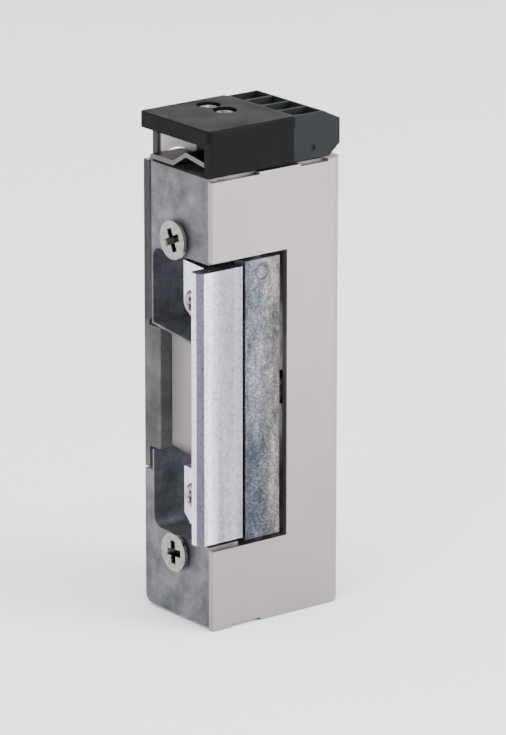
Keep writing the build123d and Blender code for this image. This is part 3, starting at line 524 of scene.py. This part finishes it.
screw_plate = small_metal("screw_plate", (0.25, 0.24, 0.22), (0.42, 0.40, 0.37), 0.27)
ground_steel = small_metal("ground_steel", (0.22, 0.22, 0.23), (0.36, 0.36, 0.37), 0.30)
spring_wire = small_metal("spring_wire", (0.20, 0.20, 0.21), (0.34, 0.34, 0.35), 0.28, 2.4)
magnet_iron = small_metal("magnet_iron", (0.21, 0.21, 0.23), (0.32, 0.32, 0.34), 0.42, 0.8)
recess_shaded_screw = small_metal("recess_shaded_screw", (0.20, 0.19, 0.175), (0.36, 0.34, 0.315), 0.25)
contact_brass = small_metal("contact_brass", (0.40, 0.30, 0.15), (0.55, 0.44, 0.25), 0.30)
print("mixed", screw_plate.name, ground_steel.name, contact_brass.name)

# %% [markdown]
# The cross recesses of the two faceplate screws are darkened with painted
# shade, which makes the crosses read dark. The mask is where two places overlap:
# below the head's face, and near the line the screw is driven along.

# %% Paint shade into the faceplate screws' recesses
HEAD_FACE_X = -1.1
HEAD_Z = 23.0
SHADE_REACH = 2.0


def paint_shade_in_recess(finish, face_x, screw_z, reach):
    """Paints shade into a screw's finish below its face and near its line."""
    nodes, links = finish.node_tree.nodes, finish.node_tree.links
    where = in_millimetres(nodes, links)
    folded = nodes.new("ShaderNodeVectorMath")
    folded.operation = "ABSOLUTE"
    links.new(where, folded.inputs[0])
    flat = nodes.new("ShaderNodeVectorMath")
    flat.operation = "MULTIPLY"
    flat.inputs[1].default_value = (0, 1, 1)
    links.new(folded.outputs["Vector"], flat.inputs[0])
    away = nodes.new("ShaderNodeVectorMath")
    away.operation = "DISTANCE"
    away.inputs[1].default_value = (0, 0, screw_z)
    links.new(flat.outputs["Vector"], away.inputs[0])
    near = rescale(nodes, links, away.outputs["Value"], 1.0, 0.0, reach - 0.2, reach)
    below = along(nodes, links, where, "X", face_x + 0.03, face_x + 0.30)
    # Painted shade in the recess.
    painted_shade = both(nodes, links, near, below)
    tint(nodes, links, nodes["Principled BSDF"], painted_shade, (0.16, 0.145, 0.13))


paint_shade_in_recess(recess_shaded_screw, HEAD_FACE_X, HEAD_Z, SHADE_REACH)
print("grime in", recess_shaded_screw.name)

# %% [markdown]
# The coil is wound with enamelled copper wire. A turn takes up about a fifth of
# a millimetre, so modelling each turn would cost a great deal and show nothing.
# A wave pattern up the coil gives the turns, and a noise varies their sheen.

# %% Mix the coil's copper wire
def wound_copper():
    """Enamelled copper in fine horizontal turns."""
    finish, nodes, links, shader = new_finish("wound_copper", 0.9)
    where = in_millimetres(nodes, links)
    turns = nodes.new("ShaderNodeTexWave")
    turns.bands_direction = "Z"
    turns.inputs["Scale"].default_value = 1.6
    turns.inputs["Distortion"].default_value = 0.4
    links.new(where, turns.inputs["Vector"])
    colour = tones(
        nodes, links, turns.outputs["Fac"],
        [(0.1, (0.22, 0.07, 0.02)), (0.8, (0.62, 0.26, 0.10))],
    )
    links.new(colour, shader.inputs["Base Color"])
    sheen = noise(nodes, links, where, 1.2)
    links.new(rescale(nodes, links, sheen, 0.38, 0.26), shader.inputs["Roughness"])
    relief(nodes, links, shader, (turns.outputs["Fac"], 0.04))
    return finish


coil_copper = wound_copper()
print("mixed", coil_copper.name)

# %% [markdown]
# The cap, the terminal block, the contact carrier and the coil former are
# moulded. Moulds for such parts are often spark-eroded, which leaves an even
# matt grain, and handling leaves slightly shinier patches. The grain is a fine
# noise in the bump; the patches are a broad noise in the roughness.

# %% Mix moulded plastics
def moulded(name, dark, light, rough_low, rough_high, grain, shine=0.5):
    """Matt moulded plastic with an even grain and handled patches."""
    finish, nodes, links, shader = new_finish(name, 0.0)
    where = in_millimetres(nodes, links)
    handled = noise(nodes, links, where, 0.18, 4.0, 0.55)
    pits = noise(nodes, links, where, 5.5, 2.0, 0.5)
    colour = tones(nodes, links, handled, [(0.3, dark), (0.72, light)])
    dust = tones(nodes, links, pits, [(0.35, (0.86, 0.86, 0.86)), (0.65, (1, 1, 1))])
    links.new(overlay(nodes, links, colour, dust, 0.8), shader.inputs["Base Color"])
    links.new(rescale(nodes, links, handled, rough_low, rough_high), shader.inputs["Roughness"])
    relief(nodes, links, shader, (pits, grain))
    shader.inputs["Specular IOR Level"].default_value = shine
    return finish


cap_black = moulded(
    "cap_black", (0.0018, 0.0018, 0.0022), (0.0034, 0.0034, 0.0039), 0.40, 0.52, 0.012, 0.06
)
terminal_grey = moulded(
    "terminal_grey", (0.0065, 0.0080, 0.0084), (0.0095, 0.0115, 0.0120), 0.46, 0.58, 0.012, 0.12
)
carrier_black = moulded(
    "carrier_black", (0.010, 0.010, 0.010), (0.016, 0.016, 0.016), 0.5, 0.6, 0.010, 0.3
)
former_nylon = moulded("former_nylon", (0.36, 0.35, 0.32), (0.44, 0.43, 0.40), 0.42, 0.52, 0.008)
print("mixed", cap_black.name, terminal_grey.name, former_nylon.name)

# %% [markdown]
# The table only has to be pale and quiet, so it gets a matt, very slightly
# cloudy white that won't draw the eye.

# %% Mix the pale table
def matt_table():
    """Matt white with barely visible clouds."""
    finish, nodes, links, shader = new_finish("matt_table", 0.0)
    clouds = noise(nodes, links, in_millimetres(nodes, links), 0.004, 2.0, 0.5)
    links.new(
        tones(nodes, links, clouds, [(0.3, (0.86, 0.86, 0.87)), (0.7, (0.90, 0.90, 0.91))]),
        shader.inputs["Base Color"],
    )
    links.new(rescale(nodes, links, clouds, 0.85, 0.95), shader.inputs["Roughness"])
    return finish


table.data.materials.append(matt_table())
print("table painted")

# %% [markdown]
# Each CAD piece now gets its finish, and all but the springs, the coil and its
# leads get a soft edge. Real sheet and castings have no knife edges: about a
# tenth of a millimetre of rounding is what catches the light along a corner. A
# Bevel modifier adds it without changing the CAD mesh, and its angle limit
# leaves smooth curves alone.

# %% Finish the CAD solids
finish_of = {
    "housing": (housing_zinc, 0.14),
    "cover_plate": (cover_nickel, 0.10),
    "cover_rivets": (screw_plate, 0.05),
    "side_plate": (plate_nickel, 0.10),
    "latch_post": (post_zinc, 0.10),
    "rear_guide": (plate_nickel, 0.06),
    "leaf_strip": (leaf_steel, 0.06),
    "keeper_axle": (ground_steel, 0.04),
    "keeper_body": (bar_zinc, 0.16),
    "keeper_lip": (lip_plate, 0.16),
    "clamp_washers": (screw_plate, 0.03),
    "keeper_spring": (spring_wire, 0.0),
    "locking_lever": (magnet_iron, 0.08),
    "lever_pin": (ground_steel, 0.04),
    "armature": (magnet_iron, 0.06),
    "armature_pin": (ground_steel, 0.03),
    "armature_spring": (spring_wire, 0.0),
    "coil_core": (magnet_iron, 0.06),
    "coil_bobbin": (former_nylon, 0.06),
    "coil_winding": (coil_copper, 0.0),
    "yoke": (magnet_iron, 0.06),
    "coil_leads": (contact_brass, 0.0),
    "top_cap": (cap_black, 0.10),
    "contact_pins": (contact_brass, 0.03),
    "contact_carrier": (carrier_black, 0.06),
    "terminal_block": (terminal_grey, 0.08),
    "wire_clamps": (contact_brass, 0.05),
    "terminal_screws": (screw_plate, 0.03),
    "faceplate_screws": (recess_shaded_screw, 0.05),
    "clamp_screws": (screw_plate, 0.04),
    "cap_screws": (screw_plate, 0.04),
}


CORNER_ANGLE = math.radians(35)


def dress(name, finish, edge):
    """Gives one CAD solid its finish and, where it has corners, a soft edge."""
    solid = nodes_of_strike[name]
    solid.data.materials.clear()
    solid.data.materials.append(finish)
    if edge > 0:
        soft = solid.modifiers.new("soft_edge", "BEVEL")
        soft.width = edge * MM
        soft.segments = 2
        soft.limit_method = "ANGLE"
        soft.angle_limit = CORNER_ANGLE
        soft.harden_normals = True
        soft.use_clamp_overlap = True


for name, (finish, edge) in finish_of.items():
    dress(name, finish, edge)
print("dressed", len(finish_of), "of", len(nodes_of_strike))
